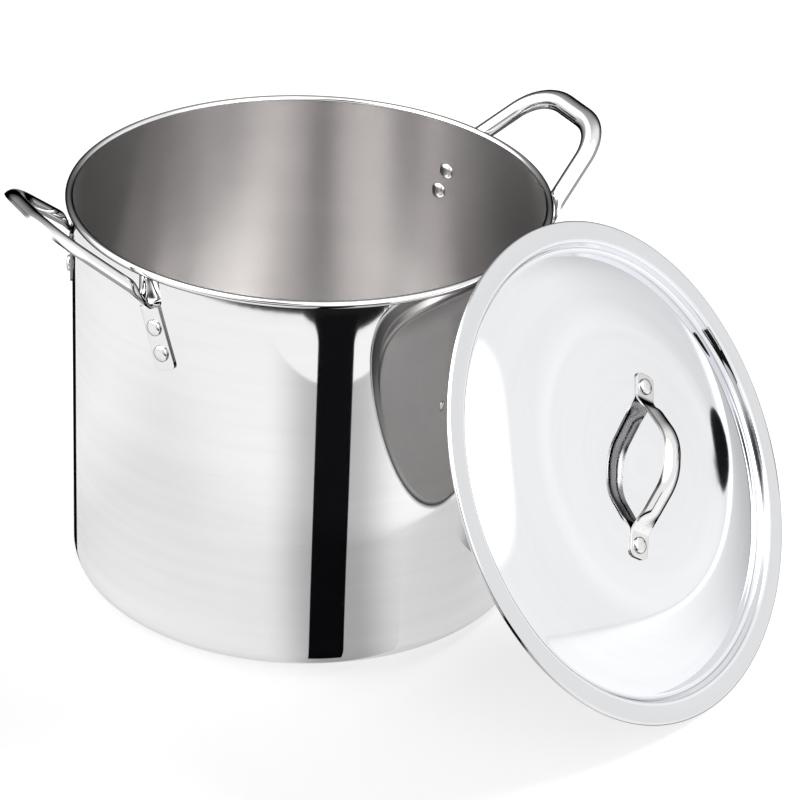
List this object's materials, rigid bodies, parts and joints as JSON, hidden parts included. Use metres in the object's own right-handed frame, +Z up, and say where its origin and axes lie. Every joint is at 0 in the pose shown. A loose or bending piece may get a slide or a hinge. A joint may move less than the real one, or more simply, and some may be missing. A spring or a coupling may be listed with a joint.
{
  "type": "water bath canner",
  "caption": "Tall stainless steel water bath canner with a rolled rim and riveted side handles, its domed lid with an arched handle leaning on the rim.",
  "frame": {"origin": "centre of the pot's base, on the surface it stands on", "axes": "+Z up along the pot's axis, +X through the middle of the right side handle; the lid leans on the rim towards -Y and a little +X"},
  "size_m": [0.4808, 0.4734, 0.3014],
  "materials": {
    "pot_steel": "polished outside, brushed round the wall inside",
    "side_handle_steel": "bright polished",
    "lid_steel": "polished, faint rings from spinning",
    "lid_handle_steel": "bright polished",
    "rivet_steel": "polished heads"
  },
  "bodies": {
    "pot": {"pot_shell": "pot_steel", "right_side_handle": "side_handle_steel", "left_side_handle": "side_handle_steel", "right_handle_front_upper_rivet": "rivet_steel", "right_handle_front_lower_rivet": "rivet_steel", "right_handle_rear_upper_rivet": "rivet_steel", "right_handle_rear_lower_rivet": "rivet_steel", "left_handle_front_upper_rivet": "rivet_steel", "left_handle_front_lower_rivet": "rivet_steel", "left_handle_rear_upper_rivet": "rivet_steel", "left_handle_rear_lower_rivet": "rivet_steel"},
    "lid": {"lid_shell": "lid_steel", "lid_handle": "lid_handle_steel", "lid_handle_upper_rivet": "rivet_steel", "lid_handle_lower_rivet": "rivet_steel"}
  },
  "joints": [
    {"name": "lid_lift", "type": "slide", "parent": "pot", "child": "lid", "axis": [0.3857, -0.7569, 0.5275], "range_m": [0, 0.3]}
  ]
}
